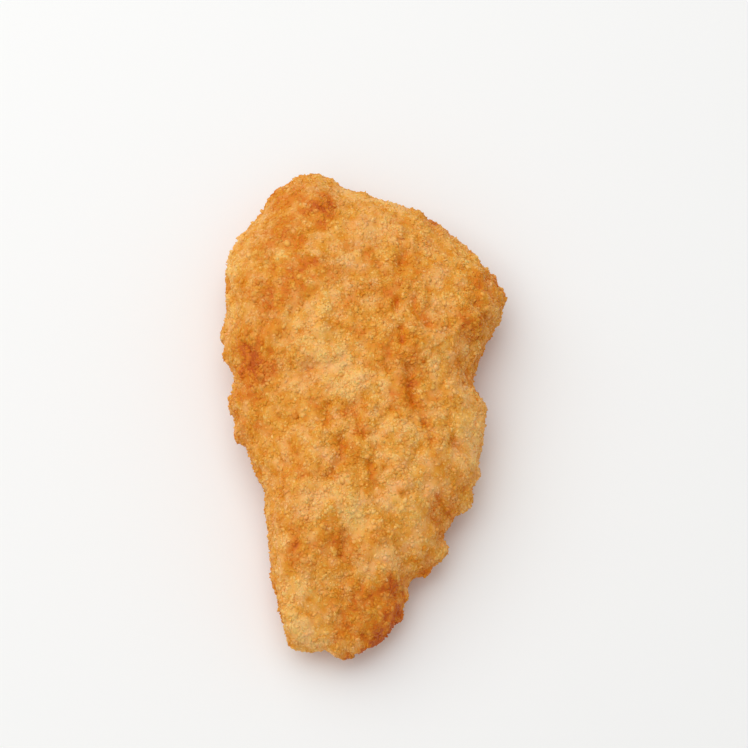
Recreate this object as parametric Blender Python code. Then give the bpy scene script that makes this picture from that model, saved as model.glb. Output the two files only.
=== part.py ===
"""A breaded chicken tender, lying on its underside with the thin tip towards the viewer.

Metres, +Z up. The origin is under the middle of the tender's box, on the plane that it rests on.
+Y runs along it, from the thin tip to the blunt end, and +X runs across it.
"""

import itertools

import bmesh
import bpy
import numpy as np

# Driving dimensions
MM = 0.001
CENTRE = np.array((-1.5, 3.0)) * MM  # a place in plan that the whole rim can be seen from
SINK = 0.3 * MM  # how much of the round underside is pressed flat where the tender rests

# The rim in plan, from the near right and anticlockwise seen from above
RIM = np.array((
    (13.2, -29.2), (13.9, -23.6), (19.2, -17.4), (21.5, -8.5), (22.8, 0.0), (21.0, 7.3),
    (23.2, 14.2), (26.5, 22.0), (23.7, 30.2), (16.2, 37.3), (6.6, 43.2), (-3.8, 46.7),
    (-12.0, 50.5), (-17.3, 47.4), (-22.5, 40.4), (-27.2, 33.0), (-27.7, 25.5), (-27.8, 16.5),
    (-26.2, 9.8), (-25.4, -0.4), (-22.6, -7.6), (-19.5, -14.6), (-18.4, -24.2), (-17.0, -36.2),
    (-15.0, -45.6), (-9.6, -47.0), (-1.2, -46.7), (3.8, -42.9), (6.4, -37.6), (7.8, -33.0),
)) * MM

# Heights above the tray at places along the length: the crown, and the rim, where it is widest
STATIONS = np.array((-48.0, -34.0, -17.0, 0.0, 17.0, 34.0, 51.0)) * MM
CROWN = np.array((11.7, 14.4, 17.3, 19.2, 19.6, 18.6, 16.1)) * MM
RIM_HEIGHT = np.array((5.7, 6.4, 7.2, 7.7, 7.9, 8.1, 8.4)) * MM
CROWN_TILT = -0.028  # how fast the crown falls towards +X

# How a section is rounded: the powers of its superellipse, 2 for round and more for square. They
# hold for a section of this reach from the centre, and rise with it, so all shoulders are alike
REACH, HALF_DEPTH = 26.0 * MM, 10.0 * MM
SHOULDER, UNDER, LIFT = 2.8, 2.3, 2.2
SOFTENED = 0.32  # the share of the power that the left flank's sloping shoulder loses
SOFT_PLACE, SOFT_REACH = np.array((-24.0, -6.0)) * MM, 15.0 * MM

# Relief of the crust, along the surface's normal: size from one lump to the next, and depth
SWELL, SWELL_DEPTH = 21.0 * MM, 0.9 * MM
LUMP, LUMP_DEPTH = 8.5 * MM, 1.3 * MM
CRAG, CRAG_DEPTH = 3.8 * MM, 0.8 * MM
GRAIN = np.array((1.0, 0.78, 1.0))  # lumps are drawn out along the meat's grain
PRESSED, FREE = 0.4, 3.5 * MM  # the relief's share underneath, and the height where it is full

# Furrows in the upper side, in plan: from, to, depth, and half the width
FURROWS = np.array((
    (7.4, 30.2, 6.4, 27.6, 1.0, 1.0),
    (5.7, 19.4, 5.5, 17.2, 1.1, 0.9),
    (9.2, 20.4, 9.2, 17.6, 1.4, 1.1),
    (9.2, 17.6, 11.4, 15.0, 1.4, 1.1),
    (6.6, 13.6, 6.8, 11.0, 1.1, 0.9),
    (8.0, 6.0, 8.8, -0.6, 1.3, 1.1),
    (9.6, -1.0, 12.3, -7.8, 0.9, 1.0),
    (-11.6, 5.6, -10.4, 5.4, 0.5, 1.1),
    (-7.8, -1.6, -7.8, -5.6, 0.9, 0.9),
    (-2.8, -1.8, -0.8, -7.9, 0.9, 0.9),
    (-4.9, -8.4, -4.9, -12.4, 1.0, 0.9),
    (-4.9, -12.4, -7.4, -15.6, 1.0, 0.9),
    (0.6, -13.4, 0.8, -16.8, 0.9, 1.0),
    (0.8, -16.8, 2.3, -18.9, 0.9, 0.9),
    (16.6, -7.6, 17.6, -9.0, 1.0, 1.1),
    (13.0, -17.8, 15.2, -20.6, 1.0, 0.9),
    (-4.4, -26.2, -4.9, -30.4, 0.9, 0.9),
    (-4.9, -30.4, -3.2, -32.6, 0.8, 0.9),
    (21.2, 19.8, 23.4, 17.6, 1.3, 1.2),
)) * MM

# Clumps of crumb that stand out at the rim: place, radius, and how far they stand out
CLUMPS = np.array((
    (-3.9, -48.0, 4.5, 1.7, 1.7),
    (2.4, -45.2, 4.5, 1.5, 0.8),
    (6.6, -40.2, 5.5, 1.7, 1.4),
    (8.2, -35.8, 6.0, 1.6, 1.5),
    (11.4, -31.6, 6.0, 1.6, 1.2),
    (15.0, -26.8, 6.5, 2.0, 2.5),
    (20.4, -18.0, 7.0, 2.2, 1.7),
    (21.8, -12.4, 8.0, 1.8, 0.7),
    (23.6, 1.0, 9.0, 2.0, 1.2),
    (20.6, 35.6, 11.0, 1.4, 1.6),
    (26.4, 23.6, 9.0, 2.0, 0.9),
    (10.5, 43.2, 11.0, 2.2, 0.5),
    (-24.2, -3.6, 8.0, 2.0, 0.9),
    (-25.8, 1.6, 8.0, 1.8, 0.7),
    (-27.2, 11.6, 8.5, 1.8, 1.4),
    (-28.0, 16.6, 9.0, 2.2, 0.7),
    (-18.6, -19.0, 6.0, 2.2, 0.8),
)) * MM

# The mesh: how often a twenty-sided ball is divided, and the share of its triangles that is kept
DIVISIONS = 7
KEPT = 0.137
SETTLED = 0.03 * MM  # corners this near the tray are set on it

# The noise: random slopes for the corners of its lattice, what brings it to about -1 to 1, the
# mean of its size without sign, and how far apart in the lattice its layers are read
SEED = 11
SLOPES = np.random.default_rng(SEED).normal(size=(256, 3))
SLOPES /= np.linalg.norm(SLOPES, axis=1, keepdims=True)
SHUFFLE = np.random.default_rng(SEED + 1).permutation(256)
GAIN, MEAN_SIZE, LAYER_STEP = 1.6, 0.3, 17.3


def noise(places, size, layer):
    """Gradient noise, about -1 to 1: each corner of a cubic lattice has a random slope, and the
    slopes of the eight corners round a place are blended by a smooth step along each axis."""
    at = places / size + LAYER_STEP * layer
    cell = np.floor(at).astype(int)
    within = at - cell
    ease = within**3 * (within * (within * 6 - 15) + 10)
    total = np.zeros(len(places))
    for corner in itertools.product((0, 1), repeat=3):
        i, j, k = ((cell + corner) & 255).T
        slope = SLOPES[SHUFFLE[(SHUFFLE[(SHUFFLE[i] + j) & 255] + k) & 255]]
        share = np.prod(np.where(corner, ease, 1 - ease), axis=1)
        total += share * ((within - corner) * slope).sum(axis=1)
    return total * GAIN


def rim(shares):
    """The rim in plan, at shares of its length: a closed Catmull-Rom curve through RIM."""
    before, start, end, after = (np.roll(RIM, k, axis=0) for k in (1, 0, -1, -2))
    steps_between_points = 24
    t = np.linspace(0, 1, steps_between_points, endpoint=False)[:, None, None]
    curve = 0.5 * (
        2 * start
        + (end - before) * t
        + (2 * before - 5 * start + 4 * end - after) * t**2
        + (3 * start - before - 3 * end + after) * t**3
    )
    curve = curve.transpose(1, 0, 2).reshape(-1, 2)
    curve = np.vstack((curve, curve[:1]))
    way = np.concatenate(([0], np.cumsum(np.linalg.norm(np.diff(curve, axis=0), axis=1))))
    return np.stack([np.interp(shares * way[-1], way, curve[:, k]) for k in (0, 1)], axis=1)


def along(y, heights):
    """Heights at places along the tender: a fourth-degree curve fitted to those at the stations."""
    return np.polynomial.Polynomial.fit(STATIONS, heights, 4)(y)


def spread_of(shares):
    """How far out a section is, 0 in the middle and 1 at the rim, at shares of its length from the
    crown's middle to the underside's."""
    turn = np.linspace(0, np.pi, 400)
    out = np.sin(turn) ** (2 / SHOULDER)
    steps = np.hypot(REACH * np.diff(out), HALF_DEPTH * np.diff(np.cos(turn)))
    way = np.concatenate(([0], np.cumsum(steps)))
    return np.interp(shares * way[-1], way, out)


def form(ball):
    """The tender's smooth form, for places on a ball of radius 1. A place's direction round the
    ball gives its place along the rim, and its way down from the ball's top its place on a section:
    a superellipse between the crown, the rim and the underside."""
    down = np.arccos(np.clip(ball[:, 2], -1, 1)) / np.pi
    spread = spread_of(down)
    edge = rim(np.mod(np.arctan2(ball[:, 1], ball[:, 0]) / (2 * np.pi), 1))
    plan = CENTRE + (edge - CENTRE) * spread[:, None]
    soft = SOFTENED * np.exp(-(((edge - SOFT_PLACE) / SOFT_REACH) ** 2).sum(axis=1))
    upper = ball[:, 2] > 0
    power = np.where(upper, SHOULDER * (1 - soft), UNDER)
    power *= np.linalg.norm(edge - CENTRE, axis=1) / REACH
    lift = (1 - spread**power) ** (1 / LIFT)
    crown = along(plan[:, 1], CROWN) + CROWN_TILT * plan[:, 0]
    widest = along(plan[:, 1], RIM_HEIGHT)
    height = widest + lift * np.where(upper, crown - widest, -widest - SINK)
    return np.column_stack((plan, height))


def furrows(places):
    """How deep the furrows cut at each place: a bell curve of the distance to each one in plan."""
    cut = np.zeros(len(places))
    for x0, y0, x1, y1, depth, width in FURROWS:
        start, run = np.array((x0, y0)), np.array((x1 - x0, y1 - y0))
        off = places[:, :2] - start
        share = np.clip(off @ run / (run @ run), 0, 1)
        gap = np.linalg.norm(off - share[:, None] * run, axis=1)
        cut = np.maximum(cut, depth * np.exp(-((gap / width) ** 2)))
    return cut * (places[:, 2] > RIM_HEIGHT[-1])


def clumps(places):
    """How far the clumps stand out at each place: a bell curve of the distance to each one."""
    out = np.zeros(len(places))
    for *middle, radius, height in CLUMPS:
        gap = np.linalg.norm(places - middle, axis=1)
        out += height * np.exp(-((gap / radius) ** 2))
    return out


def relief(places):
    """How far the crust stands out from the smooth form: broad swells, then rounded lumps and crags
    with creases between them where the noise crosses nought. It is weaker next to the tray."""
    grained = places * GRAIN
    out = SWELL_DEPTH * noise(places, SWELL, 1)
    out += LUMP_DEPTH * (np.abs(noise(grained, LUMP, 2)) - MEAN_SIZE)
    out += CRAG_DEPTH * (np.abs(noise(grained, CRAG, 3)) - MEAN_SIZE)
    out += clumps(places) - furrows(places)
    return out * (PRESSED + (1 - PRESSED) * np.clip(places[:, 2] / FREE, 0, 1))


def crusted_mesh():
    """The form with its relief, closed, finely divided, and pressed flat on the tray."""
    ball = bmesh.new()
    bmesh.ops.create_icosphere(ball, subdivisions=DIVISIONS, radius=1)
    data = bpy.data.meshes.new("tender")
    ball.to_mesh(data)
    ball.free()
    places = form(np.array([v.co for v in data.vertices]))
    data.vertices.foreach_set("co", places.ravel())
    normals = np.array([v.vector for v in data.vertex_normals])
    places += normals * relief(places)[:, None]
    places[:, 2] = np.maximum(places[:, 2], 0)
    places[:, :2] -= (places[:, :2].min(axis=0) + places[:, :2].max(axis=0)) / 2
    data.vertices.foreach_set("co", places.ravel())
    data.update()
    return data


def thinned(data):
    """The same surface with fewer triangles, the most of them where the relief is sharp."""
    draft = bpy.data.objects.new("draft", data)
    bpy.context.scene.collection.objects.link(draft)
    draft.modifiers.new("thin_out", "DECIMATE").ratio = KEPT
    graph = bpy.context.evaluated_depsgraph_get()
    mesh = bpy.data.meshes.new_from_object(draft.evaluated_get(graph))
    bpy.data.objects.remove(draft)
    for vertex in mesh.vertices:
        if vertex.co.z < SETTLED:
            vertex.co.z = 0
    return mesh


def crust_material():
    material = bpy.data.materials.new("golden_crust")
    material.use_nodes = True
    shader = material.node_tree.nodes["Principled BSDF"]
    shader.inputs["Base Color"].default_value = (0.72, 0.34, 0.085, 1)
    shader.inputs["Roughness"].default_value = 0.6
    shader.inputs["Metallic"].default_value = 0
    return material


def build_tender():
    data = thinned(crusted_mesh())
    data.materials.append(crust_material())
    tender = bpy.data.objects.new("tender", data)
    bpy.context.scene.collection.objects.link(tender)


for old in list(bpy.data.objects):
    bpy.data.objects.remove(old)
build_tender()
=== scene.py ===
"""The looks of a breaded chicken tender: its crumbed crust, its crumbs and a small photo stage.

Laid out as a Blender add-on and run as a script. Lengths are in metres unless a name says mm.
The tender lies along Y with its thin tip towards the camera.
"""

import itertools
import math

import bmesh
import bpy
import numpy as np
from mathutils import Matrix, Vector


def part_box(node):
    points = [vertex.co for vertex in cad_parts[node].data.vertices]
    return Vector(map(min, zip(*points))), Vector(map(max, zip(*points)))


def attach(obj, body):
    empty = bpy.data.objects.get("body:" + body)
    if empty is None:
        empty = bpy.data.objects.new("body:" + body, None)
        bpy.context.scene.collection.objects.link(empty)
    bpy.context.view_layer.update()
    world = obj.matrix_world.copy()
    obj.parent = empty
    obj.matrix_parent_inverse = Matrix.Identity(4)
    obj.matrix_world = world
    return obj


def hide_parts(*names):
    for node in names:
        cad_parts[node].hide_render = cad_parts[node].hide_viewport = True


bl_info = {
    "name": "Breaded Chicken Tender",
    "version": (1, 0, 0),
    "blender": (4, 5, 0),
    "location": "View3D > Sidebar > Tender",
    "description": "A crumbed crust, its loose crumbs and a stage for one chicken tender",
    "category": "Add Mesh",
}

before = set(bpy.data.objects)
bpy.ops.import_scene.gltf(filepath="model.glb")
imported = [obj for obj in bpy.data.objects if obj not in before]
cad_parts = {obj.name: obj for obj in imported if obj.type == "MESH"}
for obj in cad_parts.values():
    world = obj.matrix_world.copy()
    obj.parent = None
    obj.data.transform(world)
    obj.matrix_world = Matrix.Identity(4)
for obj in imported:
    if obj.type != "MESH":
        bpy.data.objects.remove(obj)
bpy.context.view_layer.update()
LOW, HIGH = (np.array(corner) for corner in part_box("tender"))

# The form of the tender, in its own coordinates, as its solid has it
MM = 0.001
CENTRE = np.array((-1.5, 3.0)) * MM  # a place in plan that the whole rim can be seen from
SINK = 0.3 * MM  # how much of the round underside is pressed flat where the tender rests

# The rim in plan, from the near right and anticlockwise seen from above
RIM = np.array((
    (13.2, -29.2), (13.9, -23.6), (19.2, -17.4), (21.5, -8.5), (22.8, 0.0), (21.0, 7.3),
    (23.2, 14.2), (26.5, 22.0), (23.7, 30.2), (16.2, 37.3), (6.6, 43.2), (-3.8, 46.7),
    (-12.0, 50.5), (-17.3, 47.4), (-22.5, 40.4), (-27.2, 33.0), (-27.7, 25.5), (-27.8, 16.5),
    (-26.2, 9.8), (-25.4, -0.4), (-22.6, -7.6), (-19.5, -14.6), (-18.4, -24.2), (-17.0, -36.2),
    (-15.0, -45.6), (-9.6, -47.0), (-1.2, -46.7), (3.8, -42.9), (6.4, -37.6), (7.8, -33.0),
)) * MM

# Heights above the tray at places along the length: the crown, and the rim, where it is widest
STATIONS = np.array((-48.0, -34.0, -17.0, 0.0, 17.0, 34.0, 51.0)) * MM
CROWN = np.array((11.7, 14.4, 17.3, 19.2, 19.6, 18.6, 16.1)) * MM
RIM_HEIGHT = np.array((5.7, 6.4, 7.2, 7.7, 7.9, 8.1, 8.4)) * MM
CROWN_TILT = -0.028  # how fast the crown falls towards +X

# How a section is rounded: the powers of its superellipse, 2 for round and more for square. They
# hold for a section of this reach from the centre, and rise with it, so all shoulders are alike
REACH, HALF_DEPTH = 26.0 * MM, 10.0 * MM
SHOULDER, UNDER, LIFT = 2.8, 2.3, 2.2
SOFTENED = 0.32  # the share of the power that the left flank's sloping shoulder loses
SOFT_PLACE, SOFT_REACH = np.array((-24.0, -6.0)) * MM, 15.0 * MM

# Relief that the solid has too: size from one lump to the next, and depth
SWELL, SWELL_DEPTH = 21.0 * MM, 0.9 * MM
LUMP, LUMP_DEPTH = 8.5 * MM, 1.3 * MM
CRAG, CRAG_DEPTH = 3.8 * MM, 0.8 * MM
GRAIN = np.array((1.0, 0.78, 1.0))  # lumps are drawn out along the meat's grain
PRESSED, FREE = 0.4, 3.5 * MM  # the relief's share underneath, and the height where it is full

# Furrows in the upper side, in plan: from, to, depth, and half the width
FURROWS = np.array((
    (7.4, 30.2, 6.4, 27.6, 1.0, 1.0),
    (5.7, 19.4, 5.5, 17.2, 1.1, 0.9),
    (9.2, 20.4, 9.2, 17.6, 1.4, 1.1),
    (9.2, 17.6, 11.4, 15.0, 1.4, 1.1),
    (6.6, 13.6, 6.8, 11.0, 1.1, 0.9),
    (8.0, 6.0, 8.8, -0.6, 1.3, 1.1),
    (9.6, -1.0, 12.3, -7.8, 0.9, 1.0),
    (-11.6, 5.6, -10.4, 5.4, 0.5, 1.1),
    (-7.8, -1.6, -7.8, -5.6, 0.9, 0.9),
    (-2.8, -1.8, -0.8, -7.9, 0.9, 0.9),
    (-4.9, -8.4, -4.9, -12.4, 1.0, 0.9),
    (-4.9, -12.4, -7.4, -15.6, 1.0, 0.9),
    (0.6, -13.4, 0.8, -16.8, 0.9, 1.0),
    (0.8, -16.8, 2.3, -18.9, 0.9, 0.9),
    (16.6, -7.6, 17.6, -9.0, 1.0, 1.1),
    (13.0, -17.8, 15.2, -20.6, 1.0, 0.9),
    (-4.4, -26.2, -4.9, -30.4, 0.9, 0.9),
    (-4.9, -30.4, -3.2, -32.6, 0.8, 0.9),
    (21.2, 19.8, 23.4, 17.6, 1.3, 1.2),
)) * MM

# Clumps of crumb that stand out at the rim: place, radius, and how far they stand out
CLUMPS = np.array((
    (-3.9, -48.0, 4.5, 1.7, 1.7),
    (2.4, -45.2, 4.5, 1.5, 0.8),
    (6.6, -40.2, 5.5, 1.7, 1.4),
    (8.2, -35.8, 6.0, 1.6, 1.5),
    (11.4, -31.6, 6.0, 1.6, 1.2),
    (15.0, -26.8, 6.5, 2.0, 2.5),
    (20.4, -18.0, 7.0, 2.2, 1.7),
    (21.8, -12.4, 8.0, 1.8, 0.7),
    (23.6, 1.0, 9.0, 2.0, 1.2),
    (20.6, 35.6, 11.0, 1.4, 1.6),
    (26.4, 23.6, 9.0, 2.0, 0.9),
    (10.5, 43.2, 11.0, 2.2, 0.5),
    (-24.2, -3.6, 8.0, 2.0, 0.9),
    (-25.8, 1.6, 8.0, 1.8, 0.7),
    (-27.2, 11.6, 8.5, 1.8, 1.4),
    (-28.0, 16.6, 9.0, 2.2, 0.7),
    (-18.6, -19.0, 6.0, 2.2, 0.8),
)) * MM

# Browning, from 0, pale, to 1, dark: the crust's own; the painted shade that a hollow adds; what a
# full spot adds; and what the heat of the tray adds underneath, which runs up the rim as painted
# shade
TOASTED, HOLLOW_SHADE, SPOT_BROWN, TRAY_BROWN_AND_RIM_SHADE = 0.46, 0.14, 0.65, 0.28
HOLLOW_LEAST, HOLLOW_MOST = -1, 2  # the range of a hollow's depth that tells in the painted shade
TRAY_AND_RIM_SHADE_REACH = 1.4  # how high the tray's browning and the painted shade of the rim reach, in heights of the rim

# Drifting patches of browning and of flour: strength, size in mm, and layer of the noise
BROWN_PATCHES = ((0.22, 12.0, 6), (0.19, 4.5, 7), (0.2, 1.9, 8))
FLOUR_PATCHES = ((0.25, 9.0, 11), (0.6, 2.6, 12), (0.35, 1.1, 13))

# Flour: its own share, what a spot adds, and the most that shows. Browning, with the painted shade
# in it, hides it: what is left is the first number less the second for full browning
FLOUR_SHARE, SPOT_FLOUR, FLOUR_MOST = 0.14, 0.24, 0.9
FLOUR_LEFT, FLOUR_BURNT = 1.6, 2.0

# Spots keep to the shown side, above these heights. A browned spot's edge is ragged by a share of
# its radius, in waves of the size given
BROWNED_ABOVE, FLOURED_ABOVE = 4 * MM, 6 * MM
RAGGED, RAGGED_SIZE, RAGGED_LAYER = 0.6, 1.6 * MM, 9

# Spots of the crust that browned more or less than the rest: place in plan and radius in mm, and
# how much more brown, from -1 for the palest to 1 for the darkest. Those at the right and left
# rims and at the tip's edge are partly browning and partly painted shade
BROWNED_AND_SHADED = np.array((
    (-8.8, 41.2, 4.2, 0.42),
    (-7.5, 38.6, 2.4, 0.30),
    (-12.7, 33.6, 5.2, 0.30),
    (-20.3, 31.7, 4.0, 0.25),
    (-9.7, 25.4, 2.6, 0.42),
    (-6.7, 22.4, 2.4, 0.34),
    (-20.1, 19.8, 3.6, 0.30),
    (-21.4, 4.6, 3.8, 0.80),
    (-20.9, 9.6, 3.2, 0.42),
    (10.1, 26.2, 2.2, 0.36),
    (8.3, 11.0, 2.2, 0.40),
    (9.3, 2.6, 1.6, 0.45),
    (9.1, -3.0, 2.0, 0.38),
    (12.5, -7.0, 1.9, 0.40),
    (-2.1, -4.6, 1.8, 0.45),
    (-0.3, -8.8, 1.7, 0.60),
    (-3.5, -10.8, 2.4, 0.24),
    (-10.4, 3.8, 2.4, 0.32),
    (-7.1, -6.0, 1.6, 0.32),
    (19.0, 5.8, 2.4, 0.34),
    (17.9, -10.0, 1.6, 0.42),
    (13.4, -22.2, 2.0, 0.36),
    (-5.9, -28.2, 2.0, 0.34),
    (-3.2, -29.6, 1.8, 0.46),
    (2.5, -28.6, 3.0, 0.34),
    (-13.1, -31.0, 1.8, 0.44),
    (-11.1, -33.6, 2.2, 0.34),
    (5.1, -36.6, 2.1, 1.00),
    (0.7, -37.2, 2.3, 0.48),
    (-1.0, -40.6, 1.7, 0.42),
    # These four at the tip's edge are partly browning and partly painted shade
    (8.0, -41.8, 2.8, 1.00),
    (5.8, -45.6, 2.8, 1.00),
    (2.4, -48.6, 2.6, 1.00),
    (-1.8, -50.0, 1.8, 0.60),
    (3.4, -45.6, 5.4, 0.28),
    (-12.9, -29.2, 1.1, 0.70),
    (-5.0, -24.6, 1.2, 0.55),
    (21.1, -24.8, 3.4, 0.36),
    # These four at the rims are partly browning and partly painted shade
    (25.5, 7.2, 4.2, 0.36),
    (23.0, 22.4, 4.4, 0.42),
    (20.6, 14.6, 3.2, 0.42),
    (-25.3, -5.8, 5.0, 0.30),
    (6.9, 13.0, 2.6, -0.40),
    (8.7, 3.6, 1.2, -0.42),
    (3.1, -0.8, 2.6, -0.30),
    (13.7, 7.0, 2.4, -0.42),
    (20.1, -8.6, 3.4, -0.50),
    (17.1, -12.2, 2.0, -0.34),
    (-4.1, 6.2, 4.6, -0.32),
    (-12.1, 1.2, 3.8, -0.26),
    (-15.9, 28.4, 1.5, -0.62),
    (-9.6, 29.2, 1.6, -0.38),
    (-2.2, 26.4, 2.6, -0.42),
    (-4.9, 20.2, 2.2, -0.36),
    (-8.1, 17.4, 2.2, -0.40),
    (-13.3, 14.4, 2.0, -0.26),
    (-14.5, 37.2, 2.4, -0.26),
    (-9.9, 42.6, 1.5, -0.40),
    (4.5, 33.6, 5.2, -0.40),
    (4.6, -19.6, 4.0, -0.30),
    (-3.6, 0.6, 3.6, -0.30),
    (-3.8, -44.4, 2.8, 0.30),
    (-12.2, 18.4, 3.6, 0.25),
    (-11.3, -21.8, 5.4, -0.34),
    (-1.3, -22.4, 3.4, -0.26),
    (12.3, -18.6, 3.0, -0.32),
    (4.3, -32.2, 2.4, -0.40),
    (-11.7, -38.2, 2.2, -0.44),
    (-10.7, -45.0, 3.6, -0.65),
    (-7.9, -49.4, 2.6, -0.46),
    (0.1, -35.8, 2.4, -0.28),
))

# Spots where flour shows: place in plan and radius in mm
FLOURED = np.array((
    (-10.2, 42.2, 2.0),
    (-14.5, 38.5, 2.5),
    (-19.4, 33.7, 2.0),
    (-0.1, 33.5, 3.0),
    (5.0, 34.0, 4.6),
    (4.6, -19.6, 3.4),
    (-9.7, 29.6, 2.0),
    (-2.6, 27.7, 3.0),
    (13.5, 7.8, 3.0),
    (6.9, 4.0, 2.4),
    (-8.1, 2.4, 4.4),
    (20.4, -9.4, 3.6),
    (17.3, -12.6, 3.0),
    (13.4, -20.4, 3.4),
    (-12.0, -22.5, 4.6),
    (4.6, -32.7, 3.0),
    (-0.3, -32.5, 2.2),
    (-11.8, -37.5, 2.2),
    (-10.8, -45.2, 3.8),
))

# How the crumbs are spread: drifts and clumps of them, with the strength, size and first layer of
# the noise, how thin or thick they may lie, and the share that clings to the underside
DRIFT, DRIFT_SIZE, DRIFT_LAYER = 0.8, 5 * MM, 14
CLUMP, CLUMP_SIZE, CLUMP_LAYER = 0.6, 2.4 * MM, 15
THINNEST, THICKEST, UNDERNEATH = 0.5, 2, 0.45
STEEP = 0.5  # the upright share of a face's direction under which it belongs to the rim

# A crumb's form: how far its corners are pulled in or out, how far it is stretched, and how its
# size leans towards the smallest, as the two powers of a beta distribution
PULLED, STRETCHED, SIZE_LEAN = (0.6, 1.4), (0.5, 1.25), (1.6, 3.0)

# Flour on a crumb: at its middle, what its top has more and its foot less, which is painted
# highlight and shade, and how uneven it is among crumbs
FLOUR_MIDDLE, FLOUR_PAINTED_SHADING, FLOUR_UNEVEN = 0.6, 0.6, (0.4, 1.6)

# The shader node group that the crust and its crumbs share, and how far red, green and blue light
# spread in them, against each other
TOAST_GROUP = "Toasted Breadcrumb"
GLOW_REACH = (1, 0.6, 0.4)

# The noise: random slopes and spots for its lattice, what brings it to about -1 to 1, the mean of
# its size without sign, and how far apart in the lattice its layers are read
SEED = 11
SLOPES = np.random.default_rng(SEED).normal(size=(256, 3))
SLOPES /= np.linalg.norm(SLOPES, axis=1, keepdims=True)
SHUFFLE = np.random.default_rng(SEED + 1).permutation(256)
SPOTS = np.random.default_rng(SEED + 2).uniform(size=(256, 3))
GAIN, MEAN_SIZE, LAYER_STEP = 1.6, 0.3, 17.3


def lattice_mark(corner):
    """A number from 0 to 255 for each whole corner of the lattice, as if drawn at random."""
    i, j, k = (corner & 255).T
    return SHUFFLE[(SHUFFLE[(SHUFFLE[i] + j) & 255] + k) & 255]


def noise(places, size, layer):
    """Gradient noise, about -1 to 1: each corner of a cubic lattice has a random slope, and the
    slopes of the eight corners round a place are blended by a smooth step along each axis."""
    at = places / size + LAYER_STEP * layer
    cell = np.floor(at).astype(int)
    within = at - cell
    ease = within**3 * (within * (within * 6 - 15) + 10)
    total = np.zeros(len(places))
    for corner in itertools.product((0, 1), repeat=3):
        slope = SLOPES[lattice_mark(cell + corner)]
        share = np.prod(np.where(corner, ease, 1 - ease), axis=1)
        total += share * ((within - corner) * slope).sum(axis=1)
    return total * GAIN


def grit(places, size, layer):
    """Round grains, 1 at a grain's middle and below 0 between grains: one less twice the square
    of the distance to the nearest of the spots that lie one to each cell of a cubic lattice."""
    at = places / size + LAYER_STEP * layer
    cell = np.floor(at).astype(int)
    nearest = np.full(len(places), 9.0)
    for step in itertools.product((-1, 0, 1), repeat=3):
        corner = cell + step
        spot = corner + SPOTS[lattice_mark(corner)]
        nearest = np.minimum(nearest, ((at - spot) ** 2).sum(axis=1))
    return 1 - 2 * nearest


def rim(shares):
    """The rim in plan, at shares of its length: a closed Catmull-Rom curve through RIM."""
    before, start, end, after = (np.roll(RIM, k, axis=0) for k in (1, 0, -1, -2))
    steps_between_points = 24
    t = np.linspace(0, 1, steps_between_points, endpoint=False)[:, None, None]
    curve = 0.5 * (
        2 * start
        + (end - before) * t
        + (2 * before - 5 * start + 4 * end - after) * t**2
        + (3 * start - before - 3 * end + after) * t**3
    )
    curve = curve.transpose(1, 0, 2).reshape(-1, 2)
    curve = np.vstack((curve, curve[:1]))
    way = np.concatenate(([0], np.cumsum(np.linalg.norm(np.diff(curve, axis=0), axis=1))))
    return np.stack([np.interp(shares * way[-1], way, curve[:, k]) for k in (0, 1)], axis=1)


def along(y, heights):
    """Heights at places along the tender: a fourth-degree curve fitted to the stations' ones."""
    return np.polynomial.Polynomial.fit(STATIONS, heights, 4)(y)


def spread_of(shares):
    """How far out a section is, 0 in the middle and 1 at the rim, at shares of its length from the
    crown's middle to the underside's."""
    turn = np.linspace(0, np.pi, 400)
    out = np.sin(turn) ** (2 / SHOULDER)
    steps = np.hypot(REACH * np.diff(out), HALF_DEPTH * np.diff(np.cos(turn)))
    way = np.concatenate(([0], np.cumsum(steps)))
    return np.interp(shares * way[-1], way, out)


def form(down, round_share):
    """The tender's smooth form. Down is the share of a section from the crown's middle, 0, over
    the rim, a half, to the underside's middle, 1, and round_share the share of the rim's length.
    A section is a superellipse between the crown, the rim and the underside."""
    spread = spread_of(down)
    edge = rim(round_share)
    plan = CENTRE + (edge - CENTRE) * spread[:, None]
    soft = SOFTENED * np.exp(-(((edge - SOFT_PLACE) / SOFT_REACH) ** 2).sum(axis=1))
    upper = down < 0.5
    power = np.where(upper, SHOULDER * (1 - soft), UNDER)
    power *= np.linalg.norm(edge - CENTRE, axis=1) / REACH
    lift = (1 - spread**power) ** (1 / LIFT)
    crown = along(plan[:, 1], CROWN) + CROWN_TILT * plan[:, 0]
    widest = along(plan[:, 1], RIM_HEIGHT)
    height = widest + lift * np.where(upper, crown - widest, -widest - SINK)
    return np.column_stack((plan, height))


def furrows(places):
    """How deep the furrows cut at each place: a bell curve of the distance to each one in plan."""
    cut = np.zeros(len(places))
    for x0, y0, x1, y1, depth, width in FURROWS:
        start, run = np.array((x0, y0)), np.array((x1 - x0, y1 - y0))
        off = places[:, :2] - start
        share = np.clip(off @ run / (run @ run), 0, 1)
        gap = np.linalg.norm(off - share[:, None] * run, axis=1)
        cut = np.maximum(cut, depth * np.exp(-((gap / width) ** 2)))
    return cut * (places[:, 2] > RIM_HEIGHT[-1])


def clumps(places):
    """How far the clumps stand out at each place: a bell curve of the distance to each one."""
    out = np.zeros(len(places))
    for *middle, radius, height in CLUMPS:
        gap = np.linalg.norm(places - middle, axis=1)
        out += height * np.exp(-((gap / radius) ** 2))
    return out


def coarse_relief(places):
    """How far the crust stands out from the smooth form: broad swells, then rounded lumps and
    crags with creases between them where the noise crosses nought."""
    grained = places * GRAIN
    out = SWELL_DEPTH * noise(places, SWELL, 1)
    out += LUMP_DEPTH * (np.abs(noise(grained, LUMP, 2)) - MEAN_SIZE)
    out += CRAG_DEPTH * (np.abs(noise(grained, CRAG, 3)) - MEAN_SIZE)
    return out + clumps(places) - furrows(places)


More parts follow.
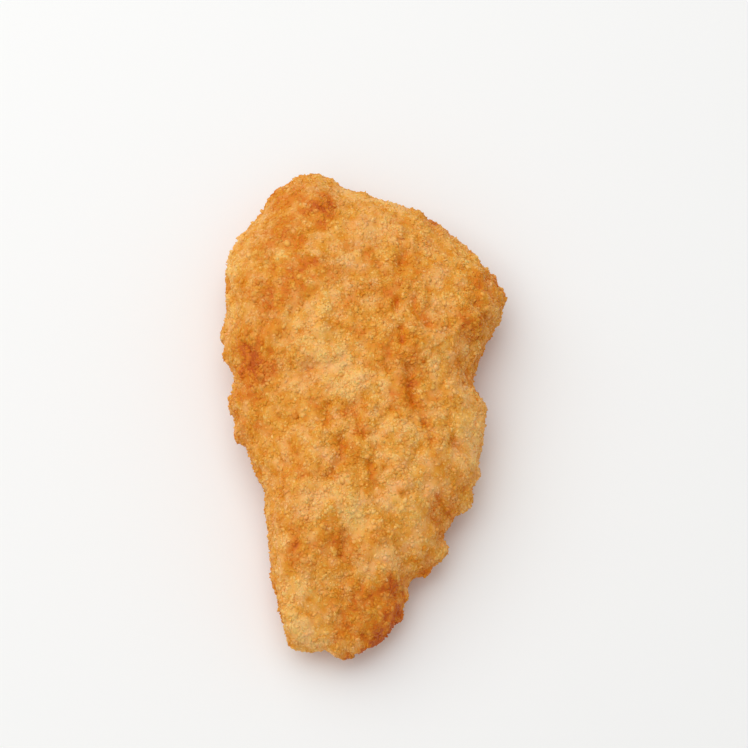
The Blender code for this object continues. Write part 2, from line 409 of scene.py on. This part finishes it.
def fine_relief(places, look):
    """The finer relief on top of that: small crags, scattered nubs that are the tops of widely set
    grains, and the grit of crumbs baked into the batter."""
    out = look.crag_depth * (np.abs(noise(places, look.crag_size, 4)) - MEAN_SIZE)
    out += look.nub_height * np.clip(grit(places, look.nub_spacing, 10), 0, 1) ** 1.5
    return out + look.grit_depth * grit(places, look.grit_size, 5)


def patches(places, rows):
    """Drifting patches: the sum of layers of noise, each times its strength."""
    return sum(strength * noise(places, size * MM, layer) for strength, size, layer in rows)


def from_spot(places, x, y, radius):
    """How far each place is from a spot's middle in plan, in radii of the spot, all in mm."""
    return np.hypot(places[:, 0] / MM - x, places[:, 1] / MM - y) / radius


def browning_and_painted_light(places, hollow):
    """How brown the crust is, from 0, pale, to 1, dark, with painted shade in it: drifting
    patches; hollows, which are painted shade; the named spots, each a bell curve with a ragged
    edge, those at the rims and the tip partly painted shade; and an underside that lay closer to
    the heat, with painted shade up the rim."""
    # The hollow term is painted shade, darker in hollows and furrows
    brown_and_painted_light = TOASTED + patches(places, BROWN_PATCHES) + HOLLOW_SHADE * hollow
    ragged = RAGGED * noise(places, RAGGED_SIZE, RAGGED_LAYER)
    shown = places[:, 2] > BROWNED_ABOVE
    for *spot, more in BROWNED_AND_SHADED:
        gap = np.clip(from_spot(places, *spot) + ragged, 0, None)
        brown_and_painted_light += SPOT_BROWN * more * np.exp(-(gap**2)) * shown
    height = places[:, 2] / along(places[:, 1], RIM_HEIGHT)
    # The last term is browning underneath and painted shade up the rim
    return brown_and_painted_light + TRAY_BROWN_AND_RIM_SHADE * np.clip(TRAY_AND_RIM_SHADE_REACH - height, 0, 1)


def flour(places, brown_and_painted_light):
    """How much pale flour shows in the crust, 0 to 1: drifting patches, the named spots, each a
    bell curve, and none where the crust is well browned or painted dark with shade."""
    share = FLOUR_SHARE + patches(places, FLOUR_PATCHES)
    shown = places[:, 2] > FLOURED_ABOVE
    for spot in FLOURED:
        share += SPOT_FLOUR * np.exp(-(from_spot(places, *spot) ** 2)) * shown
    left = np.clip(FLOUR_LEFT - FLOUR_BURNT * brown_and_painted_light, 0, 1)
    return FLOUR_MOST * np.clip(share, 0, 1) * left


def ring_faces(rings, around):
    """Four-sided faces between neighbouring rings, and a fan of triangles at each end."""
    here = np.arange(around)
    beyond = np.roll(here, -1)
    last = 1 + rings * around
    near_fan = np.stack((np.zeros_like(here), 1 + here, 1 + beyond), axis=1)
    far_fan = np.stack((np.full_like(here, last), last - around + beyond, last - around + here), 1)
    rows = 1 + around * np.arange(rings - 1)[:, None]
    below = rows + around
    quads = np.stack((rows + here, below + here, below + beyond, rows + beyond), axis=-1)
    return near_fan.tolist() + quads.reshape(-1, 4).tolist() + far_fan.tolist()


def crust_grid(rings, around):
    """The smooth form on a grid of rings, with one place more at each end, its faces, and the
    direction outwards at each place, the mean of the faces' round it."""
    down, share = np.meshgrid(
        np.arange(1, rings + 1) / (rings + 1), np.arange(around) / around, indexing="ij"
    )
    down = np.concatenate(([0], down.ravel(), [1]))
    share = np.concatenate(([0], share.ravel(), [0]))
    smooth = form(down, share)
    faces = ring_faces(rings, around)
    draft = bpy.data.meshes.new("draft")
    draft.from_pydata(smooth.tolist(), [], faces)
    outward = np.array([normal.vector for normal in draft.vertex_normals])
    bpy.data.meshes.remove(draft)
    return smooth, faces, outward


def make_piece(name, places, faces, material, attributes, smooth=True):
    """A mesh object, smooth unless it is said otherwise, with a value for each corner under each
    attribute's name."""
    data = bpy.data.meshes.new(name)
    data.from_pydata(places.tolist(), [], faces)
    for word, values in attributes.items():
        data.attributes.new(word, "FLOAT", "POINT").data.foreach_set("value", values)
    if smooth:
        data.shade_smooth()
    data.materials.append(material)
    piece = bpy.data.objects.new(name, data)
    bpy.context.scene.collection.objects.link(piece)
    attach(piece, "root")
    return piece


def rotations(count, rng):
    """Random turns, one 3 by 3 matrix each: a random matrix's orthogonal part, made proper."""
    turns, _ = np.linalg.qr(rng.normal(size=(count, 3, 3)))
    return turns * np.linalg.det(turns)[:, None, None]


def crumb_shapes(count, smallest, largest, detail, flaky, rng):
    """Crumbs round the origin: balls of eight faces, or of twenty at detail 1, with each corner
    pulled in or out, stretched or flattened along each axis, more so when they are flaky, then
    turned. Sizes lean towards the smallest. It gives all corners, and the faces of one crumb."""
    ball = bmesh.new()
    if detail == 0:
        bmesh.ops.create_uvsphere(ball, u_segments=4, v_segments=2, radius=1)
    else:
        bmesh.ops.create_icosphere(ball, subdivisions=detail, radius=1)
    corners = np.array([v.co for v in ball.verts])
    faces = np.array([[v.index for v in f.verts] for f in ball.faces])
    ball.free()
    knobbly = corners * rng.uniform(*PULLED, (count, len(corners), 1))
    knobbly = knobbly * rng.uniform(*STRETCHED, (count, 1, 3)) * (1, 1 - flaky / 2, 1 - flaky)
    size = smallest + (largest - smallest) * rng.beta(*SIZE_LEAN, (count, 1, 1))
    return knobbly @ rotations(count, rng) * size / 2, faces


def read_crust(crust):
    """The crust's triangles as arrays: their corners' places, and the browning, with its painted
    shade, there.
    """
    data = crust.data
    data.calc_loop_triangles()
    triangles = np.empty(len(data.loop_triangles) * 3, int)
    data.loop_triangles.foreach_get("vertices", triangles)
    triangles = triangles.reshape(-1, 3)
    places = np.empty(len(data.vertices) * 3)
    data.vertices.foreach_get("co", places)
    brown_and_painted_light = np.empty(len(data.vertices))
    data.attributes["browning_and_painted_light"].data.foreach_get("value", brown_and_painted_light)
    return places.reshape(-1, 3)[triangles], brown_and_painted_light[triangles]


def scatter(crust, count, layer, at_rim, rng):
    """Random places on the crust by its area, gathered in drifts and fewer where it faces down,
    with the outward direction and the browning, with its painted shade, at each. Layer picks the
    finer drifts, and at_rim keeps to the steep part of the crust."""
    corners, brown_and_painted_light = read_crust(crust)
    cross = np.cross(corners[:, 1] - corners[:, 0], corners[:, 2] - corners[:, 0])
    area = np.linalg.norm(cross, axis=1)
    middle = corners.mean(axis=1)
    gathered = 1 + DRIFT * noise(middle, DRIFT_SIZE, DRIFT_LAYER)
    gathered += CLUMP * noise(middle, CLUMP_SIZE, CLUMP_LAYER + layer)
    weight = area * np.clip(gathered, THINNEST, THICKEST)
    weight *= np.where(cross[:, 2] < -STEEP * area, UNDERNEATH, 1)
    if at_rim:
        weight *= np.abs(cross[:, 2]) < STEEP * area
    pick = rng.choice(len(area), count, p=weight / weight.sum())
    share = rng.dirichlet((1, 1, 1), count)
    place = (corners[pick] * share[:, :, None]).sum(axis=1)
    return place, cross[pick] / area[pick][:, None], (brown_and_painted_light[pick] * share).sum(axis=1)


def new_node(tree, kind, place, **settings):
    """A node at a place in the editor, in steps of 200 across and down, with its settings."""
    node = tree.nodes.new(kind)
    node.location = (place[0] * 200, -place[1] * 200)
    for word, value in settings.items():
        setattr(node, word, value)
    return node


def group_ports(group, way, kind, words):
    """Named inputs or outputs of one kind on a shader node group."""
    for word in words:
        group.interface.new_socket(word, in_out=way, socket_type=kind)


def colour_stops(ramp, colours):
    """Spread a colour ramp's stops evenly, one for each colour."""
    stops = ramp.color_ramp.elements
    stops.remove(stops[1])
    for k, colour in enumerate(colours):
        place = k / (len(colours) - 1)
        stop = stops[0] if k == 0 else stops.new(place)
        stop.position = place
        stop.color = (*colour, 1)


def toast_group(toast):
    """The shader node group for toasted breadcrumb. Browning, with the painted shade and
    highlights that the pieces put in it, runs through the colours from pale to dark, broken up by
    fine mottling, and Flour blends them with flour's own colour. Height is the fine pitting of a
    crumb's surface."""
    group = bpy.data.node_groups.new(TOAST_GROUP, "ShaderNodeTree")
    group_ports(group, "INPUT", "NodeSocketFloat", ("Browning", "Flour", "Mottle"))
    group_ports(group, "INPUT", "NodeSocketFloat", ("Mottle Scale", "Pitting Scale"))
    group_ports(group, "OUTPUT", "NodeSocketColor", ("Color",))
    group_ports(group, "OUTPUT", "NodeSocketFloat", ("Roughness", "Height"))
    entry = new_node(group, "NodeGroupInput", (-5, 0))
    leave = new_node(group, "NodeGroupOutput", (2, 0))
    where = new_node(group, "ShaderNodeTexCoord", (-5, 2))
    link = group.links.new

    # Mottling, even about nought, moves the browning up and down
    mottle = new_node(group, "ShaderNodeTexNoise", (-3, 1))
    mottle.inputs["Detail"].default_value = 3
    link(where.outputs["Object"], mottle.inputs["Vector"])
    link(entry.outputs["Mottle Scale"], mottle.inputs["Scale"])
    centred = new_node(group, "ShaderNodeMath", (-2, 1), operation="SUBTRACT")
    centred.inputs[1].default_value = 0.5
    link(mottle.outputs["Fac"], centred.inputs[0])
    uneven = new_node(group, "ShaderNodeMath", (-1, 1), operation="MULTIPLY_ADD")
    link(centred.outputs[0], uneven.inputs[0])
    link(entry.outputs["Mottle"], uneven.inputs[1])
    link(entry.outputs["Browning"], uneven.inputs[2])

    # Colour, from the browning and then the flour
    ramp = new_node(group, "ShaderNodeValToRGB", (0, 0))
    colour_stops(ramp, (toast.cream, toast.straw, toast.golden, toast.amber, toast.russet))
    link(uneven.outputs[0], ramp.inputs["Fac"])
    dusted = new_node(group, "ShaderNodeMix", (1, 0), data_type="RGBA")
    dusted.inputs["B"].default_value = (*toast.flour, 1)
    link(entry.outputs["Flour"], dusted.inputs["Factor"])
    link(ramp.outputs["Color"], dusted.inputs["A"])
    link(dusted.outputs["Result"], leave.inputs["Color"])

    # Pitting, and a gloss as uneven as the mottling
    pits = new_node(group, "ShaderNodeTexNoise", (-3, 3))
    pits.inputs["Detail"].default_value = 2
    link(where.outputs["Object"], pits.inputs["Vector"])
    link(entry.outputs["Pitting Scale"], pits.inputs["Scale"])
    link(pits.outputs["Fac"], leave.inputs["Height"])
    gloss = new_node(group, "ShaderNodeMapRange", (0, 2))
    gloss.inputs["To Min"].default_value = toast.smoothest
    gloss.inputs["To Max"].default_value = toast.roughest
    link(mottle.outputs["Fac"], gloss.inputs["Value"])
    link(gloss.outputs["Result"], leave.inputs["Roughness"])
    return group


def toast_material(name, toast, mottle, pitting):
    """Toasted breadcrumb whose browning and flour, with the painted shade and highlights in them,
    come from the piece, with the group's fine colour and pitting. Mottle is how uneven its colour
    is, and pitting how deep its pits are."""
    material = bpy.data.materials.new(name)
    material.use_nodes = True
    tree = material.node_tree
    shader = tree.nodes["Principled BSDF"]
    group = bpy.data.node_groups[TOAST_GROUP]
    crumb = new_node(tree, "ShaderNodeGroup", (-2, 0), node_tree=group)
    crumb.inputs["Mottle"].default_value = mottle
    crumb.inputs["Mottle Scale"].default_value = toast.mottle_scale
    crumb.inputs["Pitting Scale"].default_value = toast.pitting_scale
    for row, (word, port) in enumerate((("browning_and_painted_light", "Browning"), ("flour", "Flour"))):
        value = new_node(tree, "ShaderNodeAttribute", (-3, row), attribute_name=word)
        tree.links.new(value.outputs["Fac"], crumb.inputs[port])
    bump = new_node(tree, "ShaderNodeBump", (-1, 2))
    bump.inputs["Strength"].default_value = 1
    bump.inputs["Distance"].default_value = pitting
    tree.links.new(crumb.outputs["Color"], shader.inputs["Base Color"])
    tree.links.new(crumb.outputs["Roughness"], shader.inputs["Roughness"])
    tree.links.new(crumb.outputs["Height"], bump.inputs["Height"])
    tree.links.new(bump.outputs["Normal"], shader.inputs["Normal"])
    shader.inputs["Specular IOR Level"].default_value = toast.sheen_level
    shader.inputs["Subsurface Weight"].default_value = toast.glow
    shader.inputs["Subsurface Radius"].default_value = GLOW_REACH
    shader.inputs["Subsurface Scale"].default_value = toast.glow_depth
    return material


def srgb(red, green, blue):
    """A linear colour from the three numbers, 0 to 255, that a screen shows."""
    part = np.array((red, green, blue)) / 255
    return tuple(np.where(part <= 0.04045, part / 12.92, ((part + 0.055) / 1.055) ** 2.4))


def colour_property(name, description, default):
    """A linear colour."""
    return bpy.props.FloatVectorProperty(
        name=name, description=description, default=default, subtype="COLOR", size=3, min=0, max=1
    )


def length_property(name, description, default):
    """A length in metres, never below nought."""
    return bpy.props.FloatProperty(
        name=name, description=description, default=default, min=0, unit="LENGTH", precision=5
    )


def place_property(name, description, default):
    """A place in the tender's frame, in metres."""
    return bpy.props.FloatVectorProperty(
        name=name, description=description, default=default, subtype="TRANSLATION", unit="LENGTH"
    )


def power_property(name, description, default):
    """The power of a light."""
    return bpy.props.FloatProperty(
        name=name, description=description, default=default, min=0, unit="POWER"
    )


def share_property(name, description, default):
    """A share, from nought to one."""
    return bpy.props.FloatProperty(
        name=name, description=description, default=default, min=0, max=1, subtype="FACTOR"
    )


def number_property(name, description, default):
    """A plain number, never below nought."""
    return bpy.props.FloatProperty(name=name, description=description, default=default, min=0)


def count_property(name, description, default):
    """A whole number, at least three."""
    return bpy.props.IntProperty(name=name, description=description, default=default, min=3)


class CrustLook(bpy.types.PropertyGroup):
    """The crust's finer relief, and how finely it is divided"""

    crag_size: length_property("Crag Size", "From one small crag to the next", 2.0 * MM)
    crag_depth: length_property("Crag Depth", "How far small crags stand out", 0.25 * MM)
    nub_spacing: length_property("Nub Spacing", "From one nub to the next", 3.1 * MM)
    nub_height: length_property("Nub Height", "How far nubs stand out", 0.25 * MM)
    grit_size: length_property("Grit Size", "From one baked-in crumb to the next", 1.15 * MM)
    grit_depth: length_property("Grit Depth", "How far baked-in crumbs stand out", 0.12 * MM)
    around: count_property("Around", "Steps round the rim", 520)
    rings: count_property("Rings", "Steps down a section", 188)


class ToastLook(bpy.types.PropertyGroup):
    """Colours and surface of toasted breadcrumb"""

    cream: colour_property("Cream", "Palest crumb", srgb(250, 196, 110))
    straw: colour_property("Straw", "Pale golden crumb", srgb(239, 170, 68))
    golden: colour_property("Golden", "Most of the crust", srgb(225, 144, 25))
    amber: colour_property("Amber", "Well browned crumb", srgb(221, 123, 4))
    russet: colour_property("Russet", "The darkest spots", srgb(196, 90, 4))
    flour: colour_property("Flour", "Flour between the crumbs", srgb(248, 189, 124))
    mottle_scale: number_property("Mottle Scale", "Mottles to the metre", 900)
    crust_mottle: share_property("Crust Mottle", "How uneven the crust's colour is", 0.15)
    crumb_mottle: share_property("Crumb Mottle", "How uneven a crumb's colour is", 0.08)
    pitting_scale: number_property("Pitting Scale", "Pits to the metre", 2600)
    crust_pitting: length_property("Crust Pitting", "Depth of the crust's pits", 0.03 * MM)
    crumb_pitting: length_property("Crumb Pitting", "Depth of a crumb's pits", 0.012 * MM)
    smoothest: share_property("Smoothest", "Roughness of the glossiest mottles", 0.38)
    roughest: share_property("Roughest", "Roughness of the dullest mottles", 0.65)
    sheen_level: share_property("Sheen Level", "Strength of the surface's reflections", 0.28)
    glow: share_property("Glow", "Share of the light that spreads under the surface", 0.4)
    glow_depth: length_property("Glow Depth", "How far that light spreads", 0.15 * MM)


class CrumbLook(bpy.types.PropertyGroup):
    """The scattered crumbs"""

    count: count_property("Count", "Crumbs of each fine kind", 24500)
    smallest: length_property("Smallest", "Size of the smallest crumb", 0.5 * MM)
    largest: length_property("Largest", "Size of the largest crumb", 1.3 * MM)
    uneven: number_property("Uneven", "How much browning differs from crumb to crumb", 0.09)
    # Painted shade in the gaps between crumbs
    painted_gap_shade: number_property("Painted Gap Shade", "How much browner the gaps are", 0.05)
    # Painted highlight on a crumb's top and painted shade at its foot
    painted_crumb_shading: number_property("Painted Crumb Shading", "How much less brown a crumb's top is", 0.08)
    flattened: share_property("Flattened", "Share of a crumb's height baked away", 0.5)
    sunk: share_property("Sunk", "Share of a crumb that its middle lies below the crust", 0.05)


class StageLook(bpy.types.PropertyGroup):
    """The floor, the lights and the camera"""

    floor: colour_property("Floor", "Colour of the floor", (0.93, 0.93, 0.92))
    floor_size: length_property("Floor Size", "Side of the square floor", 3)
    elevation: bpy.props.FloatProperty(
        name="Elevation", description="How steeply the camera looks down",
        default=math.radians(70), subtype="ANGLE", unit="ROTATION",
    )
    distance: length_property("Distance", "From the camera to where it aims", 0.6)
    lens: bpy.props.FloatProperty(
        name="Lens", description="The camera's focal length", default=148, unit="CAMERA"
    )
    aim: place_property("Aim", "Where the camera aims", (2.14 * MM, 7.3 * MM, 8.0 * MM))
    key_power: power_property("Key Power", "Power of the soft light overhead", 4.95)
    key_place: place_property("Key Place", "Where that light hangs", (-0.26, 0.28, 0.66))
    key_size: length_property("Key Size", "Side of that light's square", 1.1)
    fill_power: power_property("Fill Power", "Power of the light from the front", 0.25)
    fill_place: place_property("Fill Place", "Where that light hangs", (-0.3, -0.45, 0.55))
    fill_size: length_property("Fill Size", "Side of that light's square", 0.45)
    sky: number_property("Sky", "Strength of the even light all round", 0.52)


class TENDER_OT_crust(bpy.types.Operator):
    """Make the crust: the tender's form with all its relief, closed, and pressed on the tray"""

    bl_idname = "tender.crust"
    bl_label = "Crust"

    def execute(self, context):
        look = context.scene.tender_crust
        toast = context.scene.tender_toast
        smooth, faces, outward = crust_grid(look.rings, look.around)
        free = PRESSED + (1 - PRESSED) * np.clip(smooth[:, 2] / FREE, 0, 1)
        coarse = smooth + outward * (coarse_relief(smooth) * free)[:, None]
        fine = fine_relief(coarse, look)
        places = coarse + outward * (fine * free)[:, None]
        # Painted shade: a furrow darkens by the square of its depth in mm, so that its middle
        # tells the most, and low places of the fine relief darken too
        hollow = -fine / look.crag_depth + (furrows(smooth) / MM) ** 2
        hollow = np.clip(hollow, HOLLOW_LEAST, HOLLOW_MOST)
        places[:, 2] = np.maximum(places[:, 2], 0)
        places[:, :2] += ((LOW + HIGH) / 2 - (coarse.min(axis=0) + coarse.max(axis=0)) / 2)[:2]
        # The crust is painted browner by the gap shade, which shows between the crumbs
        brown_and_painted_light = browning_and_painted_light(places, hollow) + context.scene.tender_crumbs.painted_gap_shade
        values = {"browning_and_painted_light": brown_and_painted_light, "flour": flour(places, brown_and_painted_light)}
        toast_group(toast)
        material = toast_material("crust", toast, toast.crust_mottle, toast.crust_pitting)
        crust = make_piece("crust", places, faces, material, values)
        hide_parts("tender")
        return {"FINISHED"}


class TENDER_OT_crumbs(bpy.types.Operator):
    """Strew crumbs over the crust, a piece for each kind, browned like the crust under them and
    carrying its painted shade, with painted highlights on their tops
    """

    bl_idname = "tender.crumbs"
    bl_label = "Crumbs"

    # Each kind: its share of the count, how large it is against the usual, how finely its balls
    # are divided, how flaky it is, its browning over the crust's, and whether it is kept to the
    # rim, where crumbs stand up
    KINDS = {
        "flakes": (0.05, 1.8, 1, 0.6, -0.08, False),
        "coarse_crumbs": (0.1, 1.45, 1, 0.45, -0.03, False),
        "golden_crumbs": (0.4, 1.25, 1, 0.25, 0.0, False),
        "pale_crumbs": (0.4, 1.1, 1, 0.25, -0.04, False),
        "golden_grains": (1.0, 0.85, 0, 0.2, 0.0, False),
        "toasted_grains": (1.0, 0.75, 0, 0.2, 0.04, False),
        "rim_crumbs": (0.09, 1.2, 1, 0.4, -0.08, True),
    }

    def execute(self, context):
        crust = bpy.data.objects.get("crust")
        if crust is None:
            raise RuntimeError("make the crust before its crumbs")
        look = context.scene.tender_crumbs
        toast = context.scene.tender_toast
        material = toast_material("crumb", toast, toast.crumb_mottle, toast.crumb_pitting)
        for number, name in enumerate(self.KINDS):
            self.strew(crust, look, material, number, name)
        return {"FINISHED"}

    def strew(self, crust, look, material, number, name):
        """Strew one kind of crumb, as one piece. Each crumb is flattened along the crust's
        direction outwards, and painted paler and more floured towards its top and browner towards
        its foot, as painted highlight and shade."""
        share, scale, detail, flaky, browner, at_rim = self.KINDS[name]
        rng = np.random.default_rng(SEED + 10 + number)
        count = int(look.count * share)
        place, outward, brown_and_painted_light = scatter(crust, count, number, at_rim, rng)
        smallest, largest = look.smallest * scale, look.largest * scale
        shapes, faces = crumb_shapes(count, smallest, largest, detail, flaky, rng)
        rise = (shapes * outward[:, None]).sum(axis=2)
        flattened = 0 if at_rim else look.flattened
        shapes = shapes - flattened * rise[..., None] * outward[:, None]
        sunk = place - outward * (look.sunk * largest)
        points = (shapes + sunk[:, None]).reshape(-1, 3)
        points[:, 2] = np.maximum(points[:, 2], 0)
        every = faces + shapes.shape[1] * np.arange(count)[:, None, None]

        top = rise / rise.max(axis=1, keepdims=True)
        # The crust's gap shade comes off each crumb, and the crumb gets painted highlight at its
        # top and painted shade at its foot
        brown_and_painted_light = brown_and_painted_light - look.painted_gap_shade + browner + rng.normal(0, look.uneven, count)
        brown_and_painted_light = (brown_and_painted_light[:, None] - look.painted_crumb_shading * top).ravel()
        # More flour towards the top is painted highlight, less towards the foot painted shade
        flour_and_painted_shading = np.clip(FLOUR_MIDDLE + FLOUR_PAINTED_SHADING * top, 0, 1)
        flour_and_painted_shading *= rng.uniform(*FLOUR_UNEVEN, (count, 1))
        values = {"browning_and_painted_light": brown_and_painted_light, "flour": flour(points, brown_and_painted_light) * flour_and_painted_shading.ravel()}
        make_piece(name, points, every.reshape(-1, 3).tolist(), material, values, detail > 0)


class TENDER_OT_stage(bpy.types.Operator):
    """Lay the floor and set up the lights and the camera"""

    bl_idname = "tender.stage"
    bl_label = "Stage"

    def execute(self, context):
        look = context.scene.tender_stage
        self.lay_floor(context, look)
        self.hang_light(context, "key", look.key_power, look.key_place, look.key_size)
        self.hang_light(context, "fill", look.fill_power, look.fill_place, look.fill_size)
        self.light_sky(context, look)
        self.place_camera(context, look)
        context.scene.view_settings.view_transform = "Standard"
        return {"FINISHED"}

    def lay_floor(self, context, look):
        """A square white table top, matt, with its middle under the tender."""
        half = look.floor_size / 2
        data = bpy.data.meshes.new("floor")
        corners = [(-half, -half, 0), (half, -half, 0), (half, half, 0), (-half, half, 0)]
        data.from_pydata(corners, [], [(0, 1, 2, 3)])
        material = bpy.data.materials.new("white table")
        material.use_nodes = True
        shader = material.node_tree.nodes["Principled BSDF"]
        shader.inputs["Base Color"].default_value = (*look.floor, 1)
        shader.inputs["Roughness"].default_value = 0.9
        shader.inputs["Specular IOR Level"].default_value = 0.1
        data.materials.append(material)
        floor = bpy.data.objects.new("floor", data)
        context.scene.collection.objects.link(floor)

    def hang_light(self, context, name, power, place, size):
        """A square light that faces the tender."""
        data = bpy.data.lights.new(name, "AREA")
        data.energy = power
        data.size = size
        lamp = bpy.data.objects.new(name, data)
        lamp.location = place
        lamp.rotation_euler = (-Vector(place)).to_track_quat("-Z", "Y").to_euler()
        context.scene.collection.objects.link(lamp)

    def light_sky(self, context, look):
        """Even white light from all round."""
        world = bpy.data.worlds.new("studio")
        world.use_nodes = True
        background = world.node_tree.nodes["Background"]
        background.inputs["Color"].default_value = (1, 1, 1, 1)
        background.inputs["Strength"].default_value = look.sky
        context.scene.world = world

    def place_camera(self, context, look):
        """A camera that looks down on the tender from beyond its thin tip."""
        data = bpy.data.cameras.new("camera")
        data.lens = look.lens
        data.sensor_width = 36
        data.clip_start = 0.01
        camera = bpy.data.objects.new("camera", data)
        back = Vector((0, -math.cos(look.elevation), math.sin(look.elevation)))
        camera.location = Vector(look.aim) + look.distance * back
        camera.rotation_euler = (-back).to_track_quat("-Z", "Y").to_euler()
        context.scene.collection.objects.link(camera)
        context.scene.camera = camera


class TENDER_PT_maker(bpy.types.Panel):
    """Lists the tender's pieces and their settings"""

    bl_label = "Chicken Tender"
    bl_idname = "TENDER_PT_maker"
    bl_space_type = "VIEW_3D"
    bl_region_type = "UI"
    bl_category = "Tender"

    def draw(self, context):
        scene = context.scene
        steps = (
            ("tender.crust", (scene.tender_toast, scene.tender_crust)),
            ("tender.crumbs", (scene.tender_crumbs,)),
            ("tender.stage", (scene.tender_stage,)),
        )
        for step, looks in steps:
            box = self.layout.box()
            box.operator(step)
            for look in looks:
                for word in look.__annotations__:
                    box.prop(look, word)


LOOKS = {
    "tender_crust": CrustLook,
    "tender_toast": ToastLook,
    "tender_crumbs": CrumbLook,
    "tender_stage": StageLook,
}
CLASSES = (*LOOKS.values(), TENDER_OT_crust, TENDER_OT_crumbs, TENDER_OT_stage, TENDER_PT_maker)


def register():
    """Register the classes, and hang each group of settings on the scene."""
    for item in CLASSES:
        bpy.utils.register_class(item)
    for word, look in LOOKS.items():
        setattr(bpy.types.Scene, word, bpy.props.PointerProperty(type=look))


def unregister():
    """Take back what register did."""
    for word in LOOKS:
        delattr(bpy.types.Scene, word)
    for item in reversed(CLASSES):
        bpy.utils.unregister_class(item)


def main():
    """Make every piece in order."""
    register()
    bpy.ops.tender.crust()
    bpy.ops.tender.crumbs()
    bpy.ops.tender.stage()


if __name__ == "__main__":
    main()
